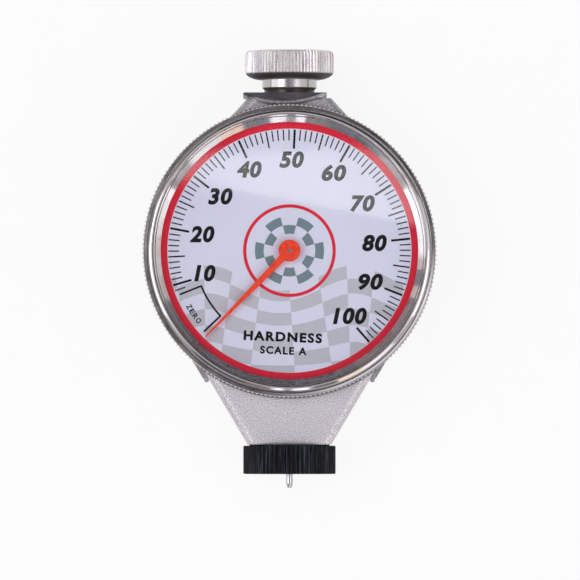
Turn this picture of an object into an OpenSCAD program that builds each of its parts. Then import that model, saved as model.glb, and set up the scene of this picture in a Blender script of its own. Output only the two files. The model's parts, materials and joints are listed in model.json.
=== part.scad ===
// Durometer: a hand-held gauge for the hardness of rubber, lying on its back.
// Millimetres. +Z is the way the dial faces, +Y runs from the indenter to the knob.
// The origin is on the dial's axis, in the plane of the back cover's outer face.

/* [Case] */
// Radius of the round part of the case
case_r = 24.7; // [23.5:0.1:28]
// Least thickness of the case's round wall
case_wall = 3.6; // [3.2:0.1:4.5]
// Width of the neck's end and of the shoulder's top
neck_w = 15.3; // [14:0.1:19]
// Distance from the dial's axis down to the neck's end
neck_y = 35.3; // [34:0.1:40]
// Distance from the dial's axis up to the shoulder's top
shoulder_y = 28; // [27:0.1:31]
// How far the shoulder's front lies behind the case's
shoulder_drop = 1; // [0.4:0.1:2]
// Rounding of the neck's and the shoulder's front edges
edge_r = 1.5; // [0.5:0.1:2.5]

/* [Back cover] */
// Thickness of the stamped sheet
sheet_t = 0.8; // [0.6:0.1:1.2]
// Height of the cover's side wall above the back
cover_rise = 8; // [5:0.1:11]
// Distance from the dial's axis down to the ends of the cover's ears
ear_y = 23.2; // [20:0.1:28]

/* [Bezel and crystal] */
// Radius of the dial that shows inside the bezel
dial_view_r = 23.45; // [22.6:0.05:23.6]
// Width of the polished cone between dial and crystal
cone_w = 1.05; // [0.8:0.05:1.8]
// Height of the polished cone
cone_h = 0.65; // [0.4:0.05:1.4]
// Width of the bead outside the crystal
bead_w = 1.28; // [0.9:0.01:1.5]
// How far the knurled flange stands out from the bead
flange_out = 1.07; // [0.8:0.01:1.6]
// Height of the knurled flange
flange_h = 1.8; // [1.4:0.1:2.2]
// Teeth around the knurled flange
bezel_teeth = 203; // [120:1:240]
// Thickness of the crystal
crystal_t = 1.6; // [1:0.1:2.5]

/* [Knob] */
// Radius of the knob over its knurl
knob_r = 8.1; // [7:0.1:8.8]
// Distance from the dial's axis up to the knob's top
knob_top = 36.8; // [35.5:0.1:42]
// Radius of the collar under the knob
collar_r = 5; // [4:0.1:6]
// Radius of the knob's screwed stud
stud_r = 2; // [1.5:0.1:2.5]
// Teeth around the knob
knob_teeth = 78; // [40:1:90]

/* [Foot and indenter] */
// Radius of the presser foot over its knurl
foot_r = 8.45; // [8:0.05:8.8]
// Height of the presser foot
foot_h = 5.2; // [4:0.1:7]
// Teeth around the presser foot
foot_teeth = 62; // [40:1:80]
// Diameter of the hole in the presser foot
orifice_d = 3; // [2.5:0.1:3.2]
// Diameter of the indenter's shank
indenter_d = 1.25; // [1.15:0.01:1.4]
// Diameter of the flat on the indenter's tip
tip_d = 0.79; // [0.78:0.01:0.8]
// How far the indenter stands out at rest, and how far it can be pressed in
travel = 2.5; // [2:0.05:2.6]

/* [Plunger] */
// Height of the plunger's axis above the back
axis_z = 9; // [8.9:0.1:11]
// Diameter of the plunger's rod
rod_d = 4; // [3.6:0.1:4.4]
// Wire of the measuring spring
spring_wire = 0.65; // [0.4:0.05:0.8]
// Turns of the measuring spring
spring_turns = 5; // [4:1:5]

/* [Gear train] */
// Module of the rack and of the pinion that it turns
rack_m = 0.35; // [0.3:0.01:0.36]
// Teeth of the rack's pinion
rack_teeth = 12; // [12:1:14]
// Module of the wheel and of the centre pinion
wheel_m = 0.25; // [0.22:0.01:0.26]
// Teeth of the wheel
wheel_teeth = 60; // [56:1:64]
// Teeth of the centre pinion
centre_teeth = 15; // [14:1:16]

/* [Pointer] */
// Distance from the dial's axis to the pointer's tip
pointer_len = 21.85; // [18:0.05:22]
// Width of the pointer where it leaves its hub
pointer_w = 1.45; // [0.8:0.05:2]
// Radius of the pointer's hub
hub_r = 2; // [1.5:0.1:3]
// Rest direction of the pointer, clockwise from the knob
pointer_rest = 224.2; // [215:0.1:235]

/* [Hidden] */
$fn = 64;

// Fits, each named once
run_fit = 0.05;
press_gap = 0.02;
air = 0.3;
over = 1;
bite = 0.15;

// Dial and rim: the cavity leaves the case's wall and the bezel's rim each its thickness
dial_lap = 0.25;
rim_wall = 2;
dial_r = dial_view_r + dial_lap;
bore_r = dial_r + run_fit;
register_r = bore_r - run_fit;
cavity_r = min(case_r - case_wall, register_r - rim_wall);

// Plunger and spring, along Y
rod_r = rod_d / 2;
foot_gap = 0.2;
foot_chamfer = 0.1;
foot_seat_r = neck_w / 2 - 0.3;
foot_top = -neck_y - foot_gap;
foot_bottom = foot_top - foot_h;
tip_y = foot_bottom - travel;
nose_len = foot_h * 0.48;
nose_end = foot_top - nose_len;
spring_room = 1.6;
neck_bore_r = rod_r + spring_room;
bush_in = 2.7;
bush_top = -neck_y + bush_in;
spring_seat_r = neck_bore_r - 0.4;
spring_seat_t = 0.8;
seat_y = bush_top + run_fit;
chamber_roof = 2.5;
chamber_top = -cavity_r - chamber_roof;
bush_flange_t = 0.5;
bush_wall = 0.9;
rod_end = nose_end + 0.4;
shank_in = 3;
cone_half = 17.5;
cone_len = (indenter_d - tip_d) / 2 / tan(cone_half);
spring_low = seat_y + spring_seat_t;
spring_high = chamber_top - bush_flange_t;
spring_r = (rod_r + neck_bore_r) / 2 - 0.05;

// Gears: a rack on the rod's left, a pinion and wheel on one arbor, and the centre pinion
pressure = 25;
addendum = 0.9;
dedendum = 1.15;
slack = 0.04;
rack_pitch_r = rack_m * rack_teeth / 2;
rack_tip_r = rack_pitch_r + addendum * rack_m;
wheel_r = wheel_m * wheel_teeth / 2;
centre_r = wheel_m * centre_teeth / 2;
rack_x = rod_r - 2 * rack_m;
arbor_x = -rack_x - rack_pitch_r;
arbor_y = -sqrt(pow(wheel_r + centre_r, 2) - pow(arbor_x, 2));
mesh_turn = atan2(-arbor_y, -arbor_x);
rack_reach = rack_tip_r + 0.15;
rod_top = arbor_y + rack_reach + 0.5;
pinion_w = 2;

// Heights of the movement above the back
plate_t = 0.8;
rear_room = 2.2;
rear_front = axis_z - rod_r - rear_room;
wheel_t = 0.7;
wheel_z = axis_z + rod_r + 0.6;
hair_h = 0.5;
hair_z = wheel_z + wheel_t + 0.4;
front_z = hair_z + hair_h + 0.4;
case_front = front_z + plate_t + 0.6;
end_shake = 0.15;
arbor_r = 0.9;
pivot_r = 0.5;
journal_r = 0.6;
nose_r = 0.35;

// Bezel, dial and crystal
dial_t = 0.4;
register_top = case_front + 1.9;
dial_z = register_top + air;
dial_face = dial_z + dial_t;
pointer_z = dial_face + 0.6;
hub_h = 0.8;
crystal_z = pointer_z + hub_h + 0.5;
crystal_r = dial_view_r + cone_w;
crystal_edge = 0.2;
seat_r = crystal_r + press_gap;
bead_r = crystal_r + bead_w;
knurl_r = bead_r + flange_out;
knurl_depth = 0.3;
bead_round = bead_w * 0.65;
bezel_z = case_front + 0.4;
flange_top = bezel_z + flange_h;
bezel_top = crystal_z + crystal_t - 0.2;
wire_r = 0.3;
groove_r = wire_r + run_fit;
wire_z = bezel_z + 0.7;
wire_ring_r = (register_r + bore_r) / 2;

// Back cover, bosses and screws
cover_gap = 0.1;
boss_r = 2.2;
boss_ring = cavity_r - boss_r + 0.5;
boss_turns = [45, 135, 225, 315];
screw_r = 0.75;
screw_head_r = 1.5;
screw_head_h = 0.7;
screw_in = 4;
screw_hole = screw_in + 0.5;
slot_w = 0.4;
rear_r = boss_ring - boss_r - 0.8;
pillar_r = 1.6;
pillar_ring = rear_r - pillar_r - 1.2;
pillar_turns = [90, 195, 345];

// Knob, and the saddle plate that it is screwed down on
pad_t = 1;
pad_under = 0.1;
pad_left = -neck_w / 2 - 0.8;
pad_right = neck_w / 2 - 0.85;
lip_t = 0.55;
pad_end = 0.75;
pad_slope = 1.6;
shoulder_front = case_front - shoulder_drop;
pad_top = shoulder_y + pad_t;
pad_rise = 2.2;
pad_back = sheet_t + pad_rise;
saddle_r = 18;
saddle_x = -1.2;
saddle_low = shoulder_y - 0.55;
washer_h = 0.6;
collar_low = pad_top + washer_h;
collar_h = 1.9;
collar_chamfer = 0.4;
knob_low = collar_low + collar_h;
knob_knurl = 0.35;
stud_stop = 2.3;
stud_end = cavity_r + stud_stop;

// Points of a circle cut into pointed teeth
function knurl_points(r, depth, n) = [
    for (i = [0 : 2 * n - 1])
        let (a = 180 * i / n, q = i % 2 == 0 ? r : r - depth)
            [q * cos(a), q * sin(a)]
];

// Touching point of the line from p to a circle about the origin
function touch(p, r, side) =
    let (a = atan2(p[1], p[0]) + side * acos(r / norm(p)))
        [r * cos(a), r * sin(a)];

// Involute gear outline, with its first tooth on +X
function inv(a) = tan(a) * 180 / PI - a;
function half_tooth(r, n, rp) =
    let (rb = rp * cos(pressure), a = r > rb ? acos(rb / r) : 0)
        90 / n + inv(pressure) - inv(a) - slack / 2 / rp * 180 / PI;
function flank_radii(n, m) =
    let (
        rp = n * m / 2,
        rb = rp * cos(pressure),
        low = rp - dedendum * m,
        high = rp + addendum * m,
        start = max(low, rb)
    )
        concat(
            low < rb ? [low] : [],
            [for (k = [0 : 4]) start + (high - start) * k / 4]
        );
function gear_points(n, m) =
    let (rp = n * m / 2, radii = flank_radii(n, m), last = len(radii) - 1)
        [
            for (i = [0 : n - 1], k = [0 : 2 * last + 1])
                let (
                    up = k <= last,
                    r = radii[up ? k : 2 * last + 1 - k],
                    h = half_tooth(r, n, rp),
                    a = 360 * i / n + (up ? -h : h)
                )
                    [r * cos(a), r * sin(a)]
        ];

// Everything to the left of the rack's teeth, which lie along Y with a space at y = 0
function rack_points() =
    let (
        p = PI * rack_m,
        low_x = -rack_x + dedendum * rack_m,
        high_x = -rack_x - addendum * rack_m,
        root = p / 4 - slack / 2 + dedendum * rack_m * tan(pressure),
        crest = p / 4 - slack / 2 - addendum * rack_m * tan(pressure),
        y0 = -travel - rack_reach,
        y1 = rack_reach,
        first = ceil((y0 + root) / p - 0.5),
        last = floor((y1 - root) / p - 0.5)
    )
        concat(
            [[-rod_r - over, y0], [low_x, y0]],
            [
                for (k = [first : last], c = [0 : 3])
                    let (
                        mid = (k + 0.5) * p,
                        x = c == 0 || c == 3 ? low_x : high_x,
                        half = c == 0 || c == 3 ? root : crest
                    )
                        [x, mid + (c < 2 ? -half : half)]
            ],
            [[low_x, y1], [-rod_r - over, y1]]
        );

// Flat spiral ribbon from r0, a pitch apart each turn
function spiral_points(r0, pitch, turns, t, steps) =
    let (n = turns * steps)
        concat(
            [for (i = [0 : n]) (r0 + pitch * i / steps) * [cos(360 * i / steps), sin(360 * i / steps)]],
            [
                for (i = [n : -1 : 0])
                    (r0 + t + pitch * i / steps) * [cos(360 * i / steps), sin(360 * i / steps)]
            ]
        );

// Round things along the plunger's axis
module on_axis() {
    translate([0, 0, axis_z])
        rotate([-90, 0, 0])
            children();
}

module bar(y0, y1, r) {
    on_axis()
        translate([0, 0, y0])
            cylinder(h = y1 - y0, r = r);
}

module column(z0, z1, r) {
    translate([0, 0, z0])
        cylinder(h = z1 - z0, r = r);
}

module ring_at(turns, r) {
    for (a = turns)
        translate([r * cos(a), r * sin(a), 0])
            children();
}

// Sides that run from the round case to the neck's end (y < 0) or the shoulder's top
module flanks(y, z0, z1, grow = 0) {
    p = [neck_w / 2, y];
    t = touch(p, case_r - bite, y < 0 ? 1 : -1);
    out = t / norm(t);
    q = p + grow * out;
    s = t + grow * out;
    translate([0, 0, z0])
        linear_extrude(z1 - z0)
            polygon([q, s, [-s[0], s[1]], [-q[0], q[1]]]);
}

// What is cut from the front edge of one flank to round it
module edge_cut(y, z) {
    p = [neck_w / 2, y];
    t = touch(p, case_r - bite, y < 0 ? 1 : -1);
    far = norm(t - p) + 2 * over;
    turn = atan2(t[1], t[0]);
    translate([p[0], p[1], z])
        rotate([90, 0, turn])
            translate([0, 0, y < 0 ? over - far : -over])
                linear_extrude(far)
                    polygon(concat(
                        [[-edge_r, over], [over, over], [over, -edge_r]],
                        [for (k = [0 : 8]) edge_r * [cos(k * 11.25) - 1, sin(k * 11.25) - 1]]
                    ));
}

// The rim of the trough that the saddle plate lies in
module pad_lip() {
    intersection() {
        translate([saddle_x, saddle_low + saddle_r, pad_back])
            cylinder(h = case_front - air - pad_back, r = saddle_r + lip_t, $fn = 240);
        translate([pad_left, saddle_low - 2 * lip_t, pad_back])
            cube([pad_right - pad_left, pad_top - saddle_low + 2 * lip_t, case_front]);
    }
}

module case_shell() {
    difference() {
        union() {
            column(sheet_t, case_front, case_r);
            column(case_front - over, register_top, register_r);
            flanks(-neck_y, sheet_t, case_front);
            flanks(shoulder_y, sheet_t, shoulder_front);
            translate([0, 0, pad_back])
                linear_extrude(case_front - air - pad_back)
                    polygon([
                        [pad_left, pad_top],
                        [pad_left, pad_top - pad_end],
                        [pad_left + pad_slope, shoulder_y - pad_under],
                        [pad_right, shoulder_y - pad_under],
                        [pad_right, pad_top]
                    ]);
            pad_lip();
        }
        for (side = [0, 1])
            mirror([side, 0, 0]) {
                edge_cut(-neck_y, case_front);
                edge_cut(shoulder_y, shoulder_front);
            }
        column(-over, register_top + over, cavity_r);
    }
}

module case_body() {
    color([0.67, 0.67, 0.69])
        difference() {
            union() {
                case_shell();
                ring_at(boss_turns, boss_ring)
                    column(sheet_t, front_z, boss_r);
            }
            ring_at(boss_turns, boss_ring)
                column(-over, front_z + over, screw_r);
            rotate_extrude()
                translate([wire_ring_r, wire_z])
                    circle(r = groove_r);
            bar(-neck_y - over, chamber_top, neck_bore_r);
            bar(chamber_top - over, -cavity_r + 2, rod_r + bush_wall);
            bar(stud_end - 0.4, pad_top + over, stud_r + run_fit);
            translate([saddle_x, saddle_low + saddle_r, -over])
                cylinder(h = case_front + 2 * over, r = saddle_r, $fn = 240);
        }
}

module back_cover() {
    wall = cover_gap + sheet_t;
    p = [neck_w / 2, -neck_y];
    t = touch(p, case_r - bite, 1);
    out = t / norm(t);
    reach = (-ear_y - p[1]) / (t[1] - p[1]);
    ear = p + (t - p) * reach + (cover_gap + sheet_t / 2) * out;
    color([0.68, 0.68, 0.70])
        difference() {
            union() {
                difference() {
                    union() {
                        column(0, cover_rise, case_r + wall);
                        flanks(-neck_y, 0, cover_rise, wall);
                    }
                    column(sheet_t, cover_rise + over, case_r + cover_gap);
                    flanks(-neck_y, sheet_t, cover_rise + over, cover_gap);
                    translate([0, 0, sheet_t])
                        linear_extrude(cover_rise)
                            polygon([
                                [0, 0],
                                2 * case_r * [cos(38), sin(38)],
                                2 * case_r * [-cos(38), sin(38)]
                            ]);
                    translate([-neck_w * 2, -neck_y - 2 * case_r - ear_y + neck_y, -over])
                        cube([neck_w * 4, 2 * case_r, cover_rise + 2 * over]);
                }
                for (side = [-1, 1])
                    translate([side * ear[0], ear[1], 0])
                        cylinder(h = cover_rise, r = sheet_t / 2);
            }
            ring_at(boss_turns, boss_ring)
                column(-over, sheet_t + over, screw_r + run_fit);
            ring_at(boss_turns, boss_ring)
                translate([0, 0, -press_gap])
                    cylinder(h = sheet_t, r1 = screw_r + sheet_t, r2 = screw_r);
        }
}

module cover_screws() {
    color([0.75, 0.75, 0.77])
        ring_at(boss_turns, boss_ring)
            difference() {
                union() {
                    translate([0, 0, run_fit])
                        cylinder(
                            h = sheet_t - run_fit,
                            r1 = screw_r + sheet_t - 0.15,
                            r2 = screw_r - run_fit
                        );
                    column(sheet_t / 2, sheet_t + screw_in, screw_r - run_fit);
                }
                translate([-2 * screw_head_r, -slot_w / 2, -over])
                    cube([4 * screw_head_r, slot_w, over + sheet_t / 2]);
            }
}

module knob_seat() {
    color([0.42, 0.42, 0.44])
        difference() {
            intersection() {
                translate([saddle_x, saddle_low + saddle_r, pad_back + air])
                    cylinder(h = case_front - 3 * air - pad_back, r = saddle_r - press_gap, $fn = 240);
                translate([pad_left + 0.1, saddle_low - over, 0])
                    cube([pad_right - pad_left - 0.8, pad_top - saddle_low + over, case_front]);
            }
            bar(saddle_low - over, pad_top + over, stud_r + run_fit);
        }
}

module knob_washer() {
    color([0.30, 0.30, 0.32])
        difference() {
            bar(pad_top, collar_low, collar_r - collar_chamfer);
            bar(pad_top - over, collar_low + over, stud_r + run_fit);
        }
}

module knob() {
    low = knob_low + 1.5;
    round_top = 0.8;
    color([0.80, 0.80, 0.82])
        union() {
            intersection() {
                on_axis()
                    rotate_extrude()
                        polygon(concat(
                            [[0, knob_low]],
                            [
                                for (a = [90 : -15 : 0])
                                    [collar_r + (knob_r - collar_r) * cos(a), low - 1.5 * sin(a)]
                            ],
                            [
                                for (a = [0 : 15 : 90])
                                    [knob_r - round_top * (1 - cos(a)), knob_top - round_top * (1 - sin(a))]
                            ],
                            [[0, knob_top]]
                        ));
                on_axis()
                    translate([0, 0, knob_low - over])
                        linear_extrude(knob_top - knob_low + 2 * over)
                            polygon(knurl_points(knob_r, knob_knurl, knob_teeth));
            }
            on_axis()
                rotate_extrude()
                    polygon([
                        [0, collar_low + run_fit],
                        [collar_r - collar_chamfer, collar_low + run_fit],
                        [collar_r, collar_low + run_fit + collar_chamfer],
                        [collar_r, knob_low + 0.2],
                        [0, knob_low + 0.2]
                    ]);
            bar(stud_end, collar_low + 0.5, stud_r);
        }
}

module front_plate() {
    color([0.78, 0.66, 0.36])
        difference() {
            column(front_z, front_z + plate_t, cavity_r - air);
            ring_at(boss_turns, boss_ring)
                column(front_z - over, case_front, screw_r + run_fit);
            ring_at(pillar_turns, pillar_ring)
                column(front_z - over, case_front, screw_r + run_fit);
            column(front_z - over, case_front, journal_r + run_fit);
            translate([arbor_x, arbor_y, 0])
                column(front_z - over, case_front, pivot_r + run_fit);
        }
}

module rear_plate() {
    color([0.76, 0.64, 0.35])
        difference() {
            column(rear_front - plate_t, rear_front, rear_r);
            ring_at(pillar_turns, pillar_ring)
                column(0, rear_front + over, pillar_r - 0.5);
            column(0, rear_front + over, pivot_r + run_fit);
            translate([arbor_x, arbor_y, 0])
                column(0, rear_front + over, pivot_r + run_fit);
        }
}

module plate_pillars() {
    color([0.80, 0.68, 0.38])
        ring_at(pillar_turns, pillar_ring)
            difference() {
                union() {
                    column(rear_front, front_z, pillar_r);
                    column(rear_front - plate_t, rear_front + 0.5, pillar_r - 0.5 - press_gap);
                }
                column(front_z - screw_hole, front_z + over, screw_r);
            }
}

module movement_screw() {
    difference() {
        union() {
            column(front_z + plate_t, front_z + plate_t + screw_head_h, screw_head_r);
            column(front_z - screw_in, front_z + plate_t + 0.2, screw_r - run_fit);
        }
        translate([-2 * screw_head_r, -slot_w / 2, front_z + plate_t + screw_head_h / 2])
            cube([4 * screw_head_r, slot_w, over]);
    }
}

module movement_screws() {
    color([0.60, 0.60, 0.63]) {
        ring_at(boss_turns, boss_ring)
            movement_screw();
        ring_at(pillar_turns, pillar_ring)
            movement_screw();
    }
}

// The slotted rail keeps the plunger from turning: the pin slides in its slot
pin_r = 0.6;
pin_drop = 1.2;
pin_y = arbor_y - pin_drop;
rail_x = rod_r + 0.6;
rail_w = 2.6;
rail_back = 0.7;
rail_past = 2.2;
rail_len = travel + 2 * rail_past;

module guide_rail() {
    color([0.77, 0.65, 0.36])
        difference() {
            translate([rail_x, pin_y - rail_past, rear_front])
                cube([rail_w, rail_len, axis_z + pin_r + 0.8 - rear_front]);
            translate([rail_x - over, pin_y - rail_past - over, axis_z - pin_r - run_fit])
                cube([rail_w - rail_back + over, rail_len + 2 * over, 2 * (pin_r + run_fit)]);
        }
}

module guide_pin() {
    color([0.70, 0.70, 0.73])
        translate([rod_r - 0.7, pin_y, axis_z])
            rotate([0, 90, 0])
                cylinder(h = rail_x - rod_r + 0.7 + rail_w - rail_back - 0.2, r = pin_r);
}

module upper_bush() {
    color([0.78, 0.62, 0.30])
        difference() {
            union() {
                bar(chamber_top - bush_flange_t, chamber_top, neck_bore_r - 0.2);
                bar(chamber_top - 0.2, -cavity_r + 0.4, rod_r + bush_wall);
            }
            bar(chamber_top - over, 0, rod_r + run_fit);
        }
}

module lower_bush() {
    color([0.78, 0.62, 0.30])
        difference() {
            bar(nose_end, bush_top, neck_bore_r);
            bar(nose_end - over, bush_top + over, rod_r + run_fit);
        }
}

module presser_foot() {
    color([0.13, 0.13, 0.15])
        difference() {
            union() {
                intersection() {
                    on_axis()
                        translate([0, 0, foot_bottom - over])
                            linear_extrude(foot_h + 2 * over)
                                polygon(knurl_points(foot_r, knob_knurl, foot_teeth));
                    on_axis()
                        rotate_extrude()
                            polygon([
                                [0, foot_bottom],
                                [foot_r - knob_knurl, foot_bottom],
                                [foot_r, foot_bottom + foot_chamfer],
                                [foot_r, foot_top - foot_chamfer],
                                [foot_r - knob_knurl, foot_top],
                                [0, foot_top]
                            ]);
                }
                on_axis()
                    translate([0, 0, foot_top - foot_chamfer])
                        linear_extrude(foot_gap + foot_chamfer)
                            polygon(knurl_points(foot_seat_r, knob_knurl, foot_teeth));
            }
            bar(nose_end, foot_top + over, neck_bore_r + press_gap);
            bar(foot_bottom - over, nose_end + over, orifice_d / 2);
        }
}

module plunger_rod() {
    color([0.72, 0.72, 0.75])
        difference() {
            union() {
                bar(rod_end, rod_top, rod_r);
                bar(seat_y, spring_low, spring_seat_r);
            }
            translate([0, arbor_y, axis_z - rod_r - over])
                linear_extrude(rod_d + 2 * over)
                    polygon(rack_points());
            translate([rod_r - 0.7, pin_y, axis_z])
                rotate([0, 90, 0])
                    cylinder(h = over * 2, r = pin_r);
            bar(rod_end - over, rod_end + shank_in, indenter_d / 2);
        }
}

module indenter() {
    color([0.80, 0.80, 0.82])
        on_axis()
            rotate_extrude()
                polygon([
                    [0, tip_y],
                    [tip_d / 2, tip_y],
                    [indenter_d / 2, tip_y + cone_len],
                    [indenter_d / 2, rod_end + shank_in],
                    [0, rod_end + shank_in]
                ]);
}

// Coil spring with one closed turn at each end
module measuring_spring() {
    steps = 20;
    sides = 8;
    w = spring_wire / 2;
    n = spring_turns * steps;
    closed = 1.04 * spring_wire;
    open = spring_high - spring_low - 2 * press_gap - spring_wire - 2 * closed;
    function rise(t) =
        t < 1 ? closed * t
        : t > spring_turns - 1 ? closed + open + closed * (t - spring_turns + 1)
        : closed + open * (t - 1) / (spring_turns - 2);
    points = [
        for (i = [0 : n], k = [0 : sides - 1])
            let (a = 360 * i / steps, b = 360 * k / sides, q = spring_r + w * cos(b))
                [
                    q * cos(a),
                    q * sin(a),
                    spring_low + press_gap + w + rise(i / steps) + w * sin(b)
                ]
    ];
    skin = [
        for (i = [0 : n - 1], k = [0 : sides - 1])
            let (j = (k + 1) % sides)
                [i * sides + k, i * sides + j, (i + 1) * sides + j, (i + 1) * sides + k]
    ];
    color([0.62, 0.62, 0.66])
        on_axis()
            polyhedron(
                points = points,
                faces = concat(
                    skin,
                    [[for (k = [sides - 1 : -1 : 0]) k], [for (k = [0 : sides - 1]) n * sides + k]]
                )
            );
}

module rack_arbor() {
    color([0.68, 0.68, 0.71])
        translate([arbor_x, arbor_y, 0])
            union() {
                column(rear_front - plate_t, front_z + plate_t, pivot_r);
                column(rear_front + end_shake, front_z - end_shake, arbor_r);
                translate([0, 0, axis_z - pinion_w / 2])
                    linear_extrude(pinion_w)
                        polygon(gear_points(rack_teeth, rack_m));
            }
}

module drive_wheel() {
    color([0.82, 0.68, 0.34])
        translate([arbor_x, arbor_y, wheel_z])
            difference() {
                rotate(mesh_turn)
                    linear_extrude(wheel_t)
                        polygon(gear_points(wheel_teeth, wheel_m));
                translate([0, 0, -over])
                    cylinder(h = wheel_t + 2 * over, r = arbor_r);
                ring_at([30, 120, 210, 300], wheel_r * 0.57)
                    translate([0, 0, -over])
                        cylinder(h = wheel_t + 2 * over, r = wheel_r * 0.24);
            }
}

module centre_arbor() {
    color([0.68, 0.68, 0.71])
        union() {
            column(rear_front - plate_t, pointer_z + hub_h - 0.1, nose_r);
            column(rear_front - plate_t, rear_front + over, pivot_r);
            column(rear_front + end_shake, front_z - end_shake, arbor_r);
            column(front_z - over, pointer_z, journal_r);
            translate([0, 0, wheel_z - end_shake])
                rotate(mesh_turn + 180 / centre_teeth + 180)
                    linear_extrude(wheel_t + 2 * end_shake)
                        polygon(gear_points(centre_teeth, wheel_m));
        }
}

// Hairspring: takes up the play of the teeth
collet_r = 1.3;
hair_t = 0.12;
hair_pitch = 0.55;
hair_turns = 5;
hair_end = collet_r + 0.1 + hair_t + hair_pitch * hair_turns;

module hairspring_collet() {
    color([0.80, 0.66, 0.34])
        difference() {
            column(hair_z - 0.05, hair_z + hair_h + 0.1, collet_r);
            column(hair_z - over, front_z, arbor_r);
        }
}

module hairspring() {
    color([0.55, 0.57, 0.66])
        translate([0, 0, hair_z])
            linear_extrude(hair_h)
                polygon(spiral_points(collet_r + 0.1, hair_pitch, hair_turns, hair_t, 24));
}

module hairspring_stud() {
    color([0.70, 0.70, 0.73])
        translate([hair_end + 0.45 + press_gap, 0, 0])
            column(hair_z, front_z, 0.45);
}

module pointer() {
    color([0.90, 0.22, 0.12])
        rotate(90 - pointer_rest)
            difference() {
                union() {
                    column(pointer_z, pointer_z + hub_h, hub_r);
                    translate([0, 0, pointer_z + 0.1])
                        linear_extrude(0.4)
                            polygon([
                                [0, -pointer_w / 2],
                                [pointer_len, -0.13],
                                [pointer_len, 0.13],
                                [0, pointer_w / 2]
                            ]);
                }
                translate([0, 0, pointer_z + hub_h - 0.12])
                    difference() {
                        cylinder(h = over, r = hub_r * 0.78);
                        translate([0, 0, -over])
                            cylinder(h = 3 * over, r = hub_r * 0.35);
                    }
                column(pointer_z - over, crystal_z, nose_r);
            }
}

module dial_plate() {
    color([0.82, 0.82, 0.88])
        difference() {
            column(dial_z, dial_face, dial_r);
            column(dial_z - over, pointer_z, journal_r + 0.5);
        }
}

module bezel_ring() {
    root_r = knurl_r - knurl_depth;
    color([0.84, 0.84, 0.86])
        difference() {
            union() {
                rotate_extrude()
                    polygon(concat(
                        [
                            [bore_r, bezel_z],
                            [root_r - 0.1, bezel_z],
                            [root_r - 0.1, flange_top - 0.05],
                            [bead_r + 0.25, flange_top + 0.05],
                            [bead_r - 0.25, flange_top + 0.05],
                            [bead_r - 0.25, flange_top + 0.4],
                            [bead_r, flange_top + 0.65]
                        ],
                        [
                            for (a = [0 : 15 : 90])
                                [bead_r - bead_round * (1 - cos(a)), bezel_top - bead_round * (1 - sin(a))]
                        ],
                        [
                            [seat_r + 0.2, bezel_top],
                            [seat_r, bezel_top - 0.15],
                            [seat_r, crystal_z],
                            [seat_r - 0.15, crystal_z],
                            [dial_view_r, crystal_z - cone_h],
                            [dial_view_r, dial_face],
                            [bore_r, dial_face]
                        ]
                    ));
                difference() {
                    translate([0, 0, bezel_z + 0.1])
                        linear_extrude(flange_h - 0.2)
                            polygon(knurl_points(knurl_r, knurl_depth, bezel_teeth));
                    column(bezel_z, flange_top, root_r - 0.4);
                }
            }
            rotate_extrude()
                translate([wire_ring_r, wire_z])
                    circle(r = groove_r);
        }
}

// Split wire that holds the bezel on the case and lets it turn
module bezel_wire() {
    color([0.66, 0.66, 0.70])
        rotate([0, 0, 95])
            rotate_extrude(angle = 350)
                translate([wire_ring_r, wire_z])
                    circle(r = wire_r);
}

module crystal() {
    color([0.90, 0.93, 0.96, 0.35])
        rotate_extrude()
            polygon([
                [0, crystal_z],
                [crystal_r, crystal_z],
                [crystal_r, crystal_z + crystal_t - crystal_edge],
                [crystal_r - crystal_edge, crystal_z + crystal_t],
                [0, crystal_z + crystal_t]
            ]);
}

case_body();
back_cover();
cover_screws();
knob_seat();
knob_washer();
knob();
front_plate();
rear_plate();
plate_pillars();
movement_screws();
guide_rail();
upper_bush();
lower_bush();
measuring_spring();
presser_foot();
plunger_rod();
indenter();
guide_pin();
rack_arbor();
drive_wheel();
centre_arbor();
hairspring_collet();
hairspring();
hairspring_stud();
pointer();
dial_plate();
bezel_ring();
bezel_wire();
crystal();
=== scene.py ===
import json
import math

import bpy
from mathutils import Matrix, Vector


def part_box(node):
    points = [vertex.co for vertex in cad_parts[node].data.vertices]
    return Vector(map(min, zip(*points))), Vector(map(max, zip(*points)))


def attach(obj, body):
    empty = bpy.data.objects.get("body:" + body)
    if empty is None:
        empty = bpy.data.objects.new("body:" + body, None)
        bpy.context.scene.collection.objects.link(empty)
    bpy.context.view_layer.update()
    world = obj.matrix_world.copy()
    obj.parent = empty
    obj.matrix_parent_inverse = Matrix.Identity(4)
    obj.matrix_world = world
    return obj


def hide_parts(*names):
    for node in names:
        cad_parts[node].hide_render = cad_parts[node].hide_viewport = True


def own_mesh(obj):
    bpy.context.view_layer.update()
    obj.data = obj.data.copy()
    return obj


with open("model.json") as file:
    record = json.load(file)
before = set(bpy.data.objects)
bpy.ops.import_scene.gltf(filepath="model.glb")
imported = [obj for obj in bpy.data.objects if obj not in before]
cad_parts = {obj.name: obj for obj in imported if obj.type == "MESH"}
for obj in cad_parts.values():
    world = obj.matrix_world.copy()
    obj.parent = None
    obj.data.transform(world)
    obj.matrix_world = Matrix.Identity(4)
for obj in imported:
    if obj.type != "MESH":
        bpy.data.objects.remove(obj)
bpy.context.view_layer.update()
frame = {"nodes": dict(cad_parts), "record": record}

# Durometer lying on its back: materials, dial print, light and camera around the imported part
MM = 0.001
nodes = frame["nodes"]
scene = bpy.context.scene
scene.view_settings.view_transform = "Standard"


# Colours are written as they look on a screen, from 0 to 255
def rgb(red, green, blue):
    def linear(c):
        c /= 255
        return c / 12.92 if c <= 0.04045 else ((c + 0.055) / 1.055) ** 2.4

    return (linear(red), linear(green), linear(blue), 1.0)


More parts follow.
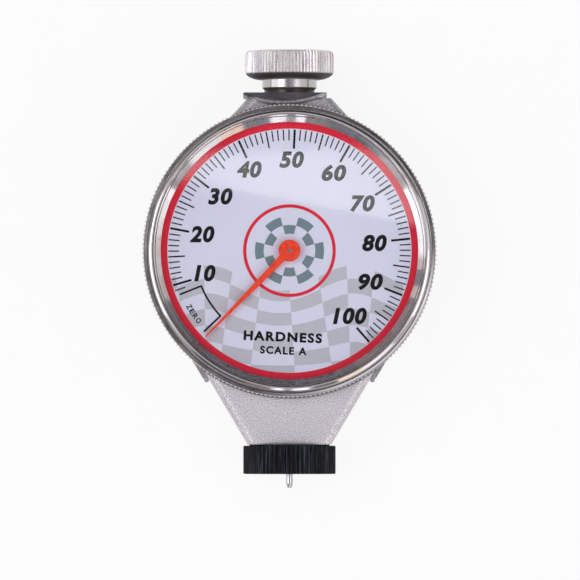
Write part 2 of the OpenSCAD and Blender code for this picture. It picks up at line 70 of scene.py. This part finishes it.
class Nodes:
    """Short ways to add the nodes of one tree."""

    def __init__(self, tree):
        self.tree = tree

    def set(self, socket, value):
        if isinstance(value, bpy.types.NodeSocket):
            self.tree.links.new(value, socket)
        else:
            socket.default_value = value

    def add(self, kind, links=(), **settings):
        node = self.tree.nodes.new(kind)
        for name, value in settings.items():
            setattr(node, name, value)
        for socket, value in dict(links).items():
            self.set(node.inputs[socket], value)
        return node

    def math(self, how, *values):
        return self.add("ShaderNodeMath", dict(enumerate(values)), operation=how).outputs[0]

    def mix(self, share, a, b):
        """Colour a where share is 0, and b where it is 1."""
        return self.add("ShaderNodeMix", {0: share, 6: a, 7: b}, data_type="RGBA").outputs[2]

    def scaled(self, value, start, end, low=0.0, high=1.0):
        """From low to high as the value goes from start to end, and held outside them."""
        return self.add(
            "ShaderNodeMapRange",
            {"Value": value, "From Min": start, "From Max": end, "To Min": low, "To Max": high},
        ).outputs[0]

    def share(self, value, start, length):
        """How far the value is past start, as a share of the length."""
        return self.math("MULTIPLY", self.math("SUBTRACT", value, start), 1 / length)

    def ramp(self, source, *stops, how="LINEAR"):
        """Colours, or plain levels, at positions from 0 to 1 of the source."""
        node = self.add("ShaderNodeValToRGB", {"Fac": source})
        band = node.color_ramp
        band.interpolation = how
        full = [(at, c if isinstance(c, tuple) else (c, c, c, 1)) for at, c in stops]
        band.elements[0].position, band.elements[0].color = full[0]
        band.elements[1].position, band.elements[1].color = full[-1]
        for at, colour in full[1:-1]:
            band.elements.new(at).color = colour
        return node.outputs["Color"]


class Paint(Nodes):
    """A Principled material and the patterns behind it."""

    def __init__(self, name, colour, metallic=0.0, roughness=0.5, **sockets):
        self.mat = bpy.data.materials.new(name)
        self.mat.use_nodes = True
        super().__init__(self.mat.node_tree)
        self.shader = self.tree.nodes["Principled BSDF"]
        self.feed("Base Color", colour)
        self.feed("Metallic", metallic)
        self.feed("Roughness", roughness)
        for socket, value in sockets.items():
            self.feed(socket.replace("_", " "), value)
        self.place = self.add("ShaderNodeTexCoord").outputs["Object"]

    def feed(self, socket, value):
        self.set(self.shader.inputs[socket], value)

    def show(self, shader):
        """Another shader in place of the Principled one."""
        self.set(self.tree.nodes["Material Output"].inputs["Surface"], shader.outputs[0])

    def axis(self, name):
        """The place along X, Y or Z."""
        return self.add("ShaderNodeSeparateXYZ", {0: self.place}).outputs[name]

    def noise(self, size_mm, detail=2.0, rough=0.5, stretch=(1, 1, 1)):
        """Noise whose blobs are about size_mm across, drawn out along an axis by stretch."""
        place = self.add(
            "ShaderNodeMapping",
            {"Vector": self.place, "Scale": [1 / (s * size_mm * MM) for s in stretch]},
        )
        return self.add(
            "ShaderNodeTexNoise",
            {"Vector": place.outputs[0], "Scale": 0.5, "Detail": detail, "Roughness": rough},
        ).outputs[0]

    def spread(self, noise, low, high):
        """From low to high over the range that noise mostly fills."""
        return self.scaled(noise, 0.3, 0.7, low, high)

    def radius(self, second="Y", offset=0.0):
        """Distance from the dial's axis, or from one along Y at that height."""
        aside = self.math("SUBTRACT", self.axis(second), offset)
        across = self.axis("X")
        squares = [self.math("MULTIPLY", a, a) for a in (across, aside)]
        return self.math("SQRT", self.math("ADD", *squares))

    def bump(self, source, depth_mm, edge_mm=0.0):
        """Relief from the source, over edges rounded by edge_mm."""
        links = {"Height": source, "Distance": depth_mm * MM}
        if edge_mm:
            bevel = self.add("ShaderNodeBevel", {"Radius": edge_mm * MM}, samples=6)
            links["Normal"] = bevel.outputs[0]
        self.feed("Normal", self.add("ShaderNodeBump", links).outputs[0])


# Sand-cast silver: bright and dark grains, with painted shade towards the knob and a painted
# shadow ring beside the bezel's edge
def cast_silver():
    p = Paint("cast_silver", rgb(188, 185, 192), 0.5, 0.42)
    grain = p.noise(0.1, 2.0, 0.6)
    cloud = p.noise(5.0, 2.0)
    fine = p.ramp(
        grain,
        (0.28, rgb(106, 103, 109)),
        (0.45, rgb(194, 191, 198)),
        (0.57, rgb(217, 214, 221)),
        (0.74, rgb(252, 250, 253)),
    )
    worn = p.mix(p.spread(cloud, 0.0, 0.14), fine, rgb(168, 165, 171))
    # Painted shade: towards the knob the casting is mixed into the darker grain tone below
    painted_shade_by_knob = p.scaled(p.axis("Y"), 18 * MM, 26 * MM, 0.0, 0.45)
    dull = p.ramp(grain, (0.3, rgb(64, 62, 66)), (0.7, rgb(190, 188, 194)))
    # Painted shadow: a dark ring on the casting just outside the bezel's edge, where the bezel
    # shades it
    painted_shadow_by_bezel = p.ramp(
        p.share(p.radius(), 25 * MM, 3 * MM),
        (0.25, 0), (0.42, 0.85), (0.583, 0.85), (0.7, 0),
    )
    p.feed("Base Color", p.mix(painted_shadow_by_bezel, p.mix(painted_shade_by_knob, worn, dull), rgb(38, 36, 38)))
    p.feed("Roughness", p.spread(grain, 0.54, 0.32))
    p.bump(grain, 0.028, 0.8)
    return p.mat


# Stamped sheet with a satin silver coat, scuffed here and there
def sheet_silver():
    p = Paint("sheet_silver", rgb(176, 175, 180), 0.6, 0.36)
    grain = p.noise(0.22, 2.0)
    scuff = p.noise(1.2, 3.0, 0.55, (3, 1, 1))
    coat = p.ramp(grain, (0.3, rgb(160, 159, 165)), (0.7, rgb(192, 191, 196)))
    p.feed("Base Color", p.mix(p.spread(scuff, 0.0, 0.22), coat, rgb(146, 145, 150)))
    p.feed("Roughness", p.spread(scuff, 0.32, 0.44))
    p.bump(grain, 0.02)
    return p.mat


# Plated bezel: polished cone and bead, dirt and painted dark reflection in the groove and on
# the flange up to the teeth, painted lighter towards the lower right
def bezel_chrome():
    clean = rgb(214, 210, 213)
    p = Paint("bezel_chrome", clean, 1.0, 0.1)
    marks = p.noise(2.0, 3.0, 0.6)
    outward = p.share(p.radius(), 24 * MM, 3 * MM)
    # Dark bands in the groove and on the flange: dirt and painted dark reflection
    level = p.ramp(
        outward,
        (0.51, 0), (0.53, 0.9), (0.572, 0.9), (0.59, 0.05),
        (0.64, 0.05), (0.665, 0.95), (0.825, 0.95), (0.855, 0),
    )
    # Painted light: the dark bands fade towards the lower right, where the light falls
    lower_right = p.math("SUBTRACT", p.axis("X"), p.axis("Y"))
    painted_light_lower_right = p.scaled(lower_right, 24 * MM, 34 * MM, 1.0, 0.5)
    dirt_and_painted_shade = p.math("MULTIPLY", p.math("MULTIPLY", level, painted_light_lower_right), p.spread(marks, 1.0, 0.8))
    worn = p.mix(p.spread(marks, 0.0, 0.25), clean, rgb(190, 182, 182))
    p.feed("Base Color", p.mix(dirt_and_painted_shade, worn, rgb(24, 23, 25)))
    teeth = p.ramp(outward, (0.825, 0), (0.855, 0.4))
    dull = p.math("ADD", teeth, p.math("MULTIPLY", dirt_and_painted_shade, 0.2))
    p.feed("Roughness", p.math("ADD", p.spread(marks, 0.05, 0.14), dull))
    p.bump(p.noise(0.3, 2.0, 0.5, (1, 1, 0.2)), 0.0008)
    return p.mat


# Plated knob: streaks along the knurl, painted shade in its valleys and at the ends, a polished
# collar, and dirt and painted shade underneath
def knob_chrome():
    p = Paint("knob_chrome", rgb(228, 224, 226), 0.75, 0.16)
    low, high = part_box("knob")
    streak = p.noise(0.1, 3.0, 0.65, (1, 26, 1))
    speck = p.noise(0.16, 2.0, 0.6)
    tone = p.ramp(
        streak,
        (0.32, rgb(134, 127, 129)),
        (0.43, rgb(230, 225, 228)),
        (0.58, rgb(252, 250, 252)),
    )
    worn = p.mix(p.spread(speck, 0.3, -0.1), tone, rgb(116, 108, 108))
    # Painted shade: darker in the knurl valleys
    inward = p.math("SUBTRACT", high.x, p.radius("Z", (low.z + high.z) / 2))
    valley = p.ramp(
        p.math("MULTIPLY", inward, 1 / (0.7 * MM)),
        (0.15, 0), (0.4, 0.1), (0.52, 0.1), (0.6, 0),
    )
    worn = p.mix(valley, worn, rgb(70, 65, 67))
    # Painted shade: both ends of the drum are mixed into the darker streak tone below
    ends = p.scaled(p.math("ABSOLUTE", p.axis("X")), 6.6 * MM, 7.5 * MM, 0.0, 0.6)
    dull = p.ramp(streak, (0.4, rgb(112, 106, 108)), (0.56, rgb(196, 191, 194)))
    worn = p.mix(ends, worn, dull)
    below = p.math("MULTIPLY", p.math("SUBTRACT", high.y, p.axis("Y")), 1 / (10 * MM))
    collar = p.ramp(below, (0.53, 0), (0.545, 1), (0.67, 1), (0.685, 0))
    worn = p.mix(collar, worn, rgb(226, 222, 225))
    # Dirt and painted shade under the knurl, lighter across the collar and dark again below it
    dirt_and_painted_shade = p.ramp(
        below,
        (0.40, 0), (0.43, 0.9), (0.52, 0.9), (0.54, 0.3), (0.675, 0.3), (0.70, 0.85),
    )
    p.feed("Base Color", p.mix(dirt_and_painted_shade, worn, rgb(44, 41, 44)))
    rough = p.math("ADD", p.spread(streak, 0.48, 0.28), p.math("MULTIPLY", dirt_and_painted_shade, 0.2))
    polish = p.math("SUBTRACT", 1.0, p.math("MULTIPLY", collar, 0.7))
    p.feed("Roughness", p.math("MULTIPLY", rough, polish))
    p.bump(speck, 0.008)
    return p.mat


# Flat glass: clear, with a faint film that dulls the reflection a little
def clear_crystal():
    index = 1.5
    p = Paint("clear_crystal", rgb(255, 255, 255))
    film = p.spread(p.noise(7.0, 3.0, 0.6), 0.01, 0.05)
    shine = p.add("ShaderNodeBsdfGlossy", {"Color": rgb(255, 255, 255), "Roughness": film})
    clear = p.add("ShaderNodeBsdfTransparent", {"Color": rgb(254, 255, 255)})
    # Seen from inside, the node turns the index over; straight rays need it the same both ways
    inside = p.add("ShaderNodeNewGeometry").outputs["Backfacing"]
    turned = p.math("SUBTRACT", index, p.math("MULTIPLY", inside, index - 1 / index))
    edge = p.add("ShaderNodeFresnel", {"IOR": turned})
    p.show(p.add(
        "ShaderNodeMixShader",
        {0: edge.outputs[0], 1: clear.outputs[0], 2: shine.outputs[0]},
    ))
    p.tree.nodes.remove(p.shader)
    return p.mat


# Lacquered dial: a pale lavender ground with a fine tooth
def pale_dial():
    p = Paint("pale_dial", rgb(227, 228, 249), 0.0, 0.45, Specular_IOR_Level=0.2)
    tooth = p.noise(0.15, 2.0)
    cloud = p.noise(9.0, 2.0)
    ground = p.ramp(cloud, (0.3, rgb(225, 226, 248)), (0.7, rgb(230, 231, 251)))
    p.feed("Base Color", p.mix(p.spread(tooth, 0.0, 0.06), ground, rgb(203, 204, 226)))
    p.feed("Roughness", p.spread(tooth, 0.4, 0.5))
    p.bump(tooth, 0.002)
    return p.mat


# Printing ink with a slightly uneven coat
def ink(name, colour, thin):
    p = Paint(name, colour, 0.0, 0.4, Specular_IOR_Level=0.08)
    coat = p.noise(0.5, 3.0, 0.6)
    p.feed("Base Color", p.mix(p.spread(coat, 0.0, 0.3), colour, thin))
    p.feed("Roughness", p.spread(coat, 0.34, 0.48))
    return p.mat


# Sprayed pointer
def orange_red():
    p = Paint("orange_red", rgb(246, 66, 30), 0.0, 0.3)
    coat = p.noise(0.4, 2.0)
    p.feed("Base Color", p.ramp(coat, (0.3, rgb(240, 56, 24)), (0.7, rgb(252, 78, 36))))
    p.feed("Roughness", p.spread(coat, 0.24, 0.38))
    p.bump(coat, 0.006)
    return p.mat


# Ground or turned steel in several tones
def steel(name, dark, light, roughness, grain=(1, 8, 1)):
    p = Paint(name, light, 1.0, roughness)
    lines = p.noise(0.12, 3.0, 0.6, grain)
    worn = p.noise(1.6, 3.0, 0.6)
    p.feed("Base Color", p.ramp(lines, (0.3, dark), (0.7, light)))
    p.feed("Roughness", p.spread(worn, roughness * 0.75, roughness * 1.3))
    p.bump(lines, 0.006)
    return p.mat


# Blued foot: near-black, with faint streaks along its knurl
def black_steel():
    p = Paint("black_steel", rgb(18, 20, 26), 0.0, 0.42, Specular_IOR_Level=0.15)
    streak = p.noise(0.1, 3.0, 0.65, (1, 40, 1))
    speck = p.noise(0.14, 2.0, 0.6)
    tone = p.ramp(
        streak,
        (0.38, rgb(4, 6, 11)),
        (0.52, rgb(16, 19, 26)),
        (0.66, rgb(74, 78, 90)),
    )
    p.feed("Base Color", p.mix(p.spread(speck, 0.5, -0.3), tone, rgb(12, 14, 19)))
    p.feed("Roughness", p.spread(streak, 0.40, 0.55))
    p.bump(streak, 0.006)
    return p.mat


# Brass of the movement
def movement_brass():
    p = Paint("movement_brass", rgb(206, 170, 98), 1.0, 0.3)
    lines = p.noise(0.2, 3.0, 0.6, (1, 14, 1))
    tarnish = p.noise(4.0, 3.0)
    tone = p.ramp(lines, (0.3, rgb(192, 156, 86)), (0.7, rgb(222, 188, 116)))
    p.feed("Base Color", p.mix(p.spread(tarnish, 0.0, 0.3), tone, rgb(158, 122, 66)))
    p.feed("Roughness", p.spread(lines, 0.24, 0.4))
    p.bump(lines, 0.004)
    return p.mat


ALONG_X = (10, 1, 1)
finishes = {
    "cast_silver": cast_silver(),
    "sheet_silver": sheet_silver(),
    "bright_chrome": bezel_chrome(),
    "clear_crystal": clear_crystal(),
    "pale_dial": pale_dial(),
    "orange_red": orange_red(),
    "dark_steel": steel("dark_steel", rgb(84, 82, 88), rgb(108, 105, 111), 0.34, ALONG_X),
    "black_steel": black_steel(),
    "hard_steel": steel("hard_steel", rgb(176, 176, 182), rgb(208, 208, 213), 0.2),
    "movement_brass": movement_brass(),
    "spring_steel": steel("spring_steel", rgb(120, 124, 136), rgb(164, 168, 180), 0.28),
}
slot_of = {s["node"]: s["material_slot"] for s in frame["record"]["subparts"]}
for name, obj in nodes.items():
    obj.data.materials.clear()
    obj.data.materials.append(finishes[slot_of[name]])
nodes["knob"].data.materials[0] = knob_chrome()
nodes["knob_washer"].data.materials[0] = steel(
    "washer_steel", rgb(52, 49, 46), rgb(74, 70, 66), 0.3, ALONG_X
)


# A new piece from points in millimetres
def mesh_object(name, points_mm, faces, mat):
    mesh = bpy.data.meshes.new(name)
    mesh.from_pydata([[c * MM for c in point] for point in points_mm], [], faces)
    mesh.materials.append(mat)
    obj = bpy.data.objects.new(name, mesh)
    scene.collection.objects.link(obj)
    return obj


# Measuring spring, with a closed turn at each end, drawn at the length of the spring part it
# replaces; the real one shortens as the plunger rises
def coil(turns=5, wire=0.65, closed_pitch=1.04, steps=32, sides=12):
    low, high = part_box("measuring_spring")
    w = wire / 2
    middle = (high.x - low.x) / MM / 2 - w
    axis = (high.z + low.z) / MM / 2
    closed = closed_pitch * wire
    opened = (high.y - low.y) / MM - wire - 2 * closed
    points = []
    for i in range(turns * steps + 1):
        t = i / steps
        rise = closed * min(t, 1) + opened * min(max((t - 1) / (turns - 2), 0), 1)
        rise += closed * max(t - turns + 1, 0)
        a = 2 * math.pi * t
        for k in range(sides):
            b = 2 * math.pi * k / sides
            r = middle + w * math.cos(b)
            along = low.y / MM + w + rise + w * math.sin(b)
            points.append((r * math.cos(a), along, axis - r * math.sin(a)))
    last = turns * steps * sides
    faces = [list(range(sides)), [last + k for k in reversed(range(sides))]]
    for i in range(turns * steps):
        here, there = i * sides, (i + 1) * sides
        for k in range(sides):
            j = (k + 1) % sides
            faces.append([there + k, there + j, here + j, here + k])
    obj = mesh_object("measuring_coil", points, faces, finishes["spring_steel"])
    obj.data.shade_smooth()
    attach(obj, "case")
    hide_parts("measuring_spring")
    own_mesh(obj)


coil()

# The dial's print, in millimetres about the dial's axis; each ink lies a hair above the plate
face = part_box("dial_plate")[1].z / MM
CHECKER_LIFT, RING_LIFT, LETTER_LIFT = 0.008, 0.015, 0.02
black_ink = ink("black_ink", rgb(18, 15, 18), rgb(30, 27, 30))
red_ink = ink("red_ink", rgb(232, 42, 66), rgb(222, 36, 58))
slate_ink = ink("slate_ink", rgb(120, 140, 150), rgb(132, 151, 160))
grey_ink = ink("grey_ink", rgb(197, 197, 209), rgb(205, 205, 219))


def polar(angle, r):
    """A point r from the axis, angle degrees clockwise from the knob."""
    a = math.radians(angle)
    return r * math.sin(a), r * math.cos(a)


class Print:
    """Flat shapes in one ink that end up as one mesh on the dial."""

    def __init__(self, name, mat, lift):
        self.name, self.mat = name, mat
        self.z = face + lift
        self.points, self.faces = [], []

    def shape(self, outline):
        start = len(self.points)
        self.points += [(x, y, self.z) for x, y in outline]
        corners = list(range(start, start + len(outline)))
        (x0, y0), (x1, y1), (x2, y2) = outline[:3]
        if (x1 - x0) * (y2 - y0) - (y1 - y0) * (x2 - x0) < 0:
            corners.reverse()
        self.faces.append(corners)

    def band(self, r0, r1, start, end, steps):
        """Part of a ring, from start to end degrees clockwise."""
        for i in range(steps):
            a = start + (end - start) * i / steps
            b = start + (end - start) * (i + 1) / steps
            self.shape([polar(a, r0), polar(a, r1), polar(b, r1), polar(b, r0)])

    def spoke(self, angle, r0, r1, width):
        """A line along a radius."""
        x, y = polar(angle, 1)
        ends = ((r0, 1), (r0, -1), (r1, -1), (r1, 1))
        self.shape([(x * r + s * y * width / 2, y * r - s * x * width / 2) for r, s in ends])

    def word(self, text, centre, height, width, slant=0.0, weight=0.0, turn=0.0, spacing=1.0):
        """Letters in Blender's own font, fitted to a height and a width."""
        curve = bpy.data.curves.new("letters", "FONT")
        curve.body = text
        curve.shear = slant
        curve.offset = weight
        curve.space_character = spacing
        curve.resolution_u = 4
        obj = bpy.data.objects.new("letters", curve)
        scene.collection.objects.link(obj)
        bpy.context.view_layer.update()
        solved = obj.evaluated_get(bpy.context.evaluated_depsgraph_get())
        mesh = bpy.data.meshes.new_from_object(solved)
        low = [min(v.co[i] for v in mesh.vertices) for i in (0, 1)]
        high = [max(v.co[i] for v in mesh.vertices) for i in (0, 1)]
        sx = width / (high[0] - low[0])
        sy = height / (high[1] - low[1])
        c, s = math.cos(math.radians(turn)), math.sin(math.radians(turn))
        start = len(self.points)
        for v in mesh.vertices:
            x = (v.co.x - (low[0] + high[0]) / 2) * sx
            y = (v.co.y - (low[1] + high[1]) / 2) * sy
            self.points.append((centre[0] + x * c + y * s, centre[1] - x * s + y * c, self.z))
        self.faces += [[start + i for i in p.vertices] for p in mesh.polygons]
        bpy.data.objects.remove(obj)
        bpy.data.curves.remove(curve)
        bpy.data.meshes.remove(mesh)

    def done(self):
        obj = mesh_object(self.name, self.points, self.faces, self.mat)
        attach(obj, "bezel")


# Scale: 50 is just right of the top; each line by its inner end and width
UNIT, MIDDLE, MIDDLE_AT = 30 / 11, 50, 2.5
FIRST, LAST, LINE_END = 9, 100, 22.1
TEN, FIVE, ONE = (18.6, 0.40), (19.05, 0.27), (20.1, 0.23)
scale = Print("dial_scale", black_ink, LETTER_LIFT)
for value in range(FIRST, LAST + 1):
    inner, width = TEN if value % 10 == 0 else FIVE if value % 5 == 0 else ONE
    scale.spoke(MIDDLE_AT + (value - MIDDLE) * UNIT, inner, LINE_END, width)

# Box that the pointer rests in: two sides at their angles, joined by an arc that laps over them
BOX_FROM, BOX_TO, BOX_LAP = 226.6, 248.2, 0.4
BOX_IN, BOX_OUT, BOX_LINE = 17.3, 21.5, 0.34
for angle in (BOX_FROM, BOX_TO):
    scale.spoke(angle, BOX_IN, BOX_OUT, BOX_LINE)
scale.band(
    BOX_IN - BOX_LINE / 2, BOX_IN + BOX_LINE / 2, BOX_FROM - BOX_LAP, BOX_TO + BOX_LAP, steps=12
)
scale.done()

# Numerals, upright and slanted, by their middles
NUMERAL_H, NUMERAL_W, NARROW_W, WIDE_W = 3.05, 4.5, 3.9, 6.2
numerals = Print("dial_numerals", black_ink, LETTER_LIFT)
places = {
    10: (-15.4, -4.1), 20: (-15.9, 3.0), 30: (-12.6, 9.9), 40: (-7.3, 14.8), 50: (0.4, 16.6),
    60: (8.1, 14.2), 70: (13.3, 8.6), 80: (15.5, 1.4), 90: (14.8, -5.7), 100: (11.0, -11.9),
}
for value, place in places.items():
    width = {10: NARROW_W, 100: WIDE_W}.get(value, NUMERAL_W)
    numerals.word(str(value), place, NUMERAL_H, width, slant=0.2, weight=0.045, spacing=1.12)
numerals.done()

# Two words under the middle, and one letter by letter around the rest box
WORDS_TURN, WORDS_SPACING = 2.5, 1.22
words = Print("dial_words", black_ink, LETTER_LIFT)
for text, place, height, width, weight in (
    ("HARDNESS", (-1.2, -15.7), 1.8, 14.3, 0.045),
    ("SCALE A", (-1.1, -18.2), 1.45, 8.5, 0.04),
):
    words.word(text, place, height, width, 0.0, weight, WORDS_TURN, WORDS_SPACING)
ZERO_FROM, ZERO_STEP, ZERO_R, ZERO_H, ZERO_W = 240.7, 2.75, 20.9, 1.0, 0.85
for i, letter in enumerate("ZERO"):
    angle = ZERO_FROM - ZERO_STEP * i
    words.word(letter, polar(angle, ZERO_R), ZERO_H, ZERO_W, weight=0.03, turn=angle + 180)
words.done()

# Red rings, by their inner and outer radius
BROAD_RING, THIN_RING = (22.24, 23.62), (7.85, 8.45)
ring = Print("dial_ring", red_ink, RING_LIFT)
ring.band(*BROAD_RING, 0, 360, steps=180)
ring.band(*THIN_RING, 0, 360, steps=120)
ring.done()

# Rosette of plain segments inside the thin ring
PETALS, ROSETTE_IN, ROSETTE_MID, ROSETTE_OUT = 6, 3.1, 4.7, 6.3
rosette = Print("dial_rosette", slate_ink, RING_LIFT)
half = 90 / PETALS
for i in range(PETALS):
    at = 4 * half * i
    rosette.band(ROSETTE_IN, ROSETTE_MID, at - half, at + half, steps=6)
    rosette.band(ROSETTE_MID, ROSETTE_OUT, at + half, at + 3 * half, steps=6)
rosette.done()

# Plain checker that waves across the lower half, inside a radius, each square in small cuts
COLUMNS, ROWS, CUTS, CHECKER_R = 10, 8, 6, 23.4
CHECKER_EDGE, CHECKER_TOP, ROW_GROWTH = 26, -5.0, 1.1
WAVE_LENGTH, WAVE_HEIGHT, WAVE_LEAN, CREST_X = 26.5, 2.3, 3.2, 11.6
checker = Print("dial_checker", grey_ink, CHECKER_LIFT)


def wave(u, v):
    """A point of the checker, u across and v down, both from 0 to 1."""
    across = CHECKER_EDGE * (2 * u - 1)
    swing = 2 * math.pi * (across - CREST_X) / WAVE_LENGTH
    top = CHECKER_TOP + WAVE_HEIGHT * math.cos(swing)
    down = (top + CHECKER_EDGE) * v**ROW_GROWTH
    return across - WAVE_LEAN * v * math.sin(swing), top - down


for column in range(COLUMNS):
    for row in range(column % 2, ROWS, 2):
        for i in range(CUTS):
            for j in range(CUTS):
                corners = [
                    wave((column + (i + a) / CUTS) / COLUMNS, (row + (j + b) / CUTS) / ROWS)
                    for a, b in ((0, 0), (0, 1), (1, 1), (1, 0))
                ]
                if max(math.hypot(*c) for c in corners) < CHECKER_R:
                    checker.shape(corners)
checker.done()


# Floor, white to the camera and to reflections apart from the object's faint shadow
def floor_paint():
    p = Paint("floor_white", rgb(240, 240, 240), 0.0, 0.9)
    speck = p.noise(3.0, 2.0)
    p.feed("Base Color", p.ramp(speck, (0.3, rgb(238, 238, 238)), (0.7, rgb(242, 242, 242))))
    path = p.add("ShaderNodeLightPath").outputs
    seen = p.math("MAXIMUM", path["Is Camera Ray"], path["Is Glossy Ray"])
    seen = p.math("MAXIMUM", seen, path["Is Transmission Ray"])
    glow = p.add("ShaderNodeEmission", {"Color": (1, 1, 1, 1), "Strength": 1.0})
    p.show(p.add(
        "ShaderNodeMixShader",
        {0: p.math("MULTIPLY", seen, 0.88), 1: p.shader.outputs[0], 2: glow.outputs[0]},
    ))
    return p.mat


FLOOR, FLOOR_Z = 3000, -0.02
floor = mesh_object(
    "floor",
    [(x * FLOOR, y * FLOOR, FLOOR_Z) for x, y in ((-1, -1), (1, -1), (1, 1), (-1, 1))],
    [(0, 1, 2, 3)],
    floor_paint(),
)


# Soft lamps, aimed at the origin: radiance times area gives the power
def lamp(name, place, size, radiance, colour=(1, 1, 1)):
    light = bpy.data.lights.new(name, "AREA")
    light.shape = "RECTANGLE"
    light.size, light.size_y = size
    light.energy = radiance * math.pi * size[0] * size[1]
    light.color = colour
    obj = bpy.data.objects.new(name, light)
    obj.location = place
    obj.rotation_euler = (-Vector(place)).to_track_quat("-Z", "Y").to_euler()
    scene.collection.objects.link(obj)


lamp("left_box", (-0.75, 0.15, 1.1), (0.5, 0.6), 1.5)
lamp("right_box", (0.8, -0.1, 1.1), (0.35, 0.5), 1.1, (1.0, 0.96, 0.93))

# Bright panel overhead, whose reflection in the crystal pales the upper part of the dial
PANEL, PANEL_Z = ((-58, 40.8), (130, 46.0), (130, 4.3)), 690
panel_paint = Paint(
    "panel_white", (0, 0, 0, 1), Emission_Color=(1, 1, 1, 1), Emission_Strength=1.75
)
panel = mesh_object("panel", [(x, y, PANEL_Z) for x, y in PANEL], [(0, 1, 2)], panel_paint.mat)
panel.visible_camera = False

# Studio: pale above, dim overhead where the camera stands, and walls with windows lower down
world = bpy.data.worlds.new("studio")
scene.world = world
world.use_nodes = True
world.node_tree.nodes.clear()
sky = Nodes(world.node_tree)


def grey(level):
    return (level, level, level * 1.02, 1)


# Walls around the object: each colour from its angle on to the next, in degrees
white, blush, pink = (2.0, 1.95, 2.0, 1), (1.55, 1.45, 1.42, 1), (2.4, 2.2, 2.15, 1)
tan, peach, buff = (2.1, 1.75, 1.6, 1), (1.6, 1.15, 0.85, 1), (0.95, 0.80, 0.70, 1)
brown, umber = (0.45, 0.38, 0.36, 1), (0.30, 0.23, 0.20, 1)
walls = [
    (-180, grey(0.10)), (-140, grey(0.16)), (-128, umber), (-115, tan), (-103, pink),
    (-94.5, tan), (-86.7, pink), (-63.3, brown), (-50, blush), (-33, peach), (-22, grey(0.2)),
    (-9, white), (-2, grey(0.3)), (2, white), (6, umber), (18, grey(0.12)), (45, brown),
    (62.6, white), (94, buff), (99, grey(0.16)), (106, buff), (112, umber), (150, grey(0.12)),
    (179, grey(0.10)),
]
view = sky.add("ShaderNodeTexCoord").outputs["Generated"]
x, y, z = sky.add("ShaderNodeSeparateXYZ", {0: view}).outputs
turn = sky.math("ARCTAN2", sky.math("MULTIPLY", x, -1.0), sky.math("MULTIPLY", y, -1.0))
around = sky.scaled(turn, -math.pi, math.pi)
windows = sky.ramp(around, *[((a + 180) / 360, c) for a, c in walls], how="CONSTANT")
wall = sky.mix(sky.scaled(z, 0.05, 0.22), grey(0.4), windows)
above = sky.ramp(
    z,
    (0.0, grey(1.45)), (0.3, grey(1.65)), (0.9, grey(1.65)),
    (0.965, grey(0.6)), (0.99, grey(0.08)),
)
lift = sky.math("MULTIPLY_ADD", sky.math("ABSOLUTE", y), -0.6, z)
room = sky.mix(sky.scaled(lift, 0.42, 0.55), wall, above)

# One corner of the room is dimmer
DIM_CORNER = (0.64, 0.77, 0.0)
toward = sky.add("ShaderNodeVectorMath", {0: view, 1: DIM_CORNER}, operation="DOT_PRODUCT")
dim = sky.scaled(toward.outputs["Value"], 0.1, 0.7, 1.0, 0.4)
background = sky.add("ShaderNodeBackground", {"Color": room, "Strength": dim})
sky.add("ShaderNodeOutputWorld", {"Surface": background.outputs[0]})

# Camera as the photograph was taken: above the neck, looking a little up the gauge
eye = Vector((0.1, -36.3, 1509)) * MM
target = Vector((0.1, -7.0, 9)) * MM
camera = bpy.data.cameras.new("camera")
camera.sensor_width = 36
camera.lens = 508.3
camera_obj = bpy.data.objects.new("camera", camera)
camera_obj.location = eye
camera_obj.rotation_euler = (target - eye).to_track_quat("-Z", "Y").to_euler()
scene.collection.objects.link(camera_obj)
scene.camera = camera_obj
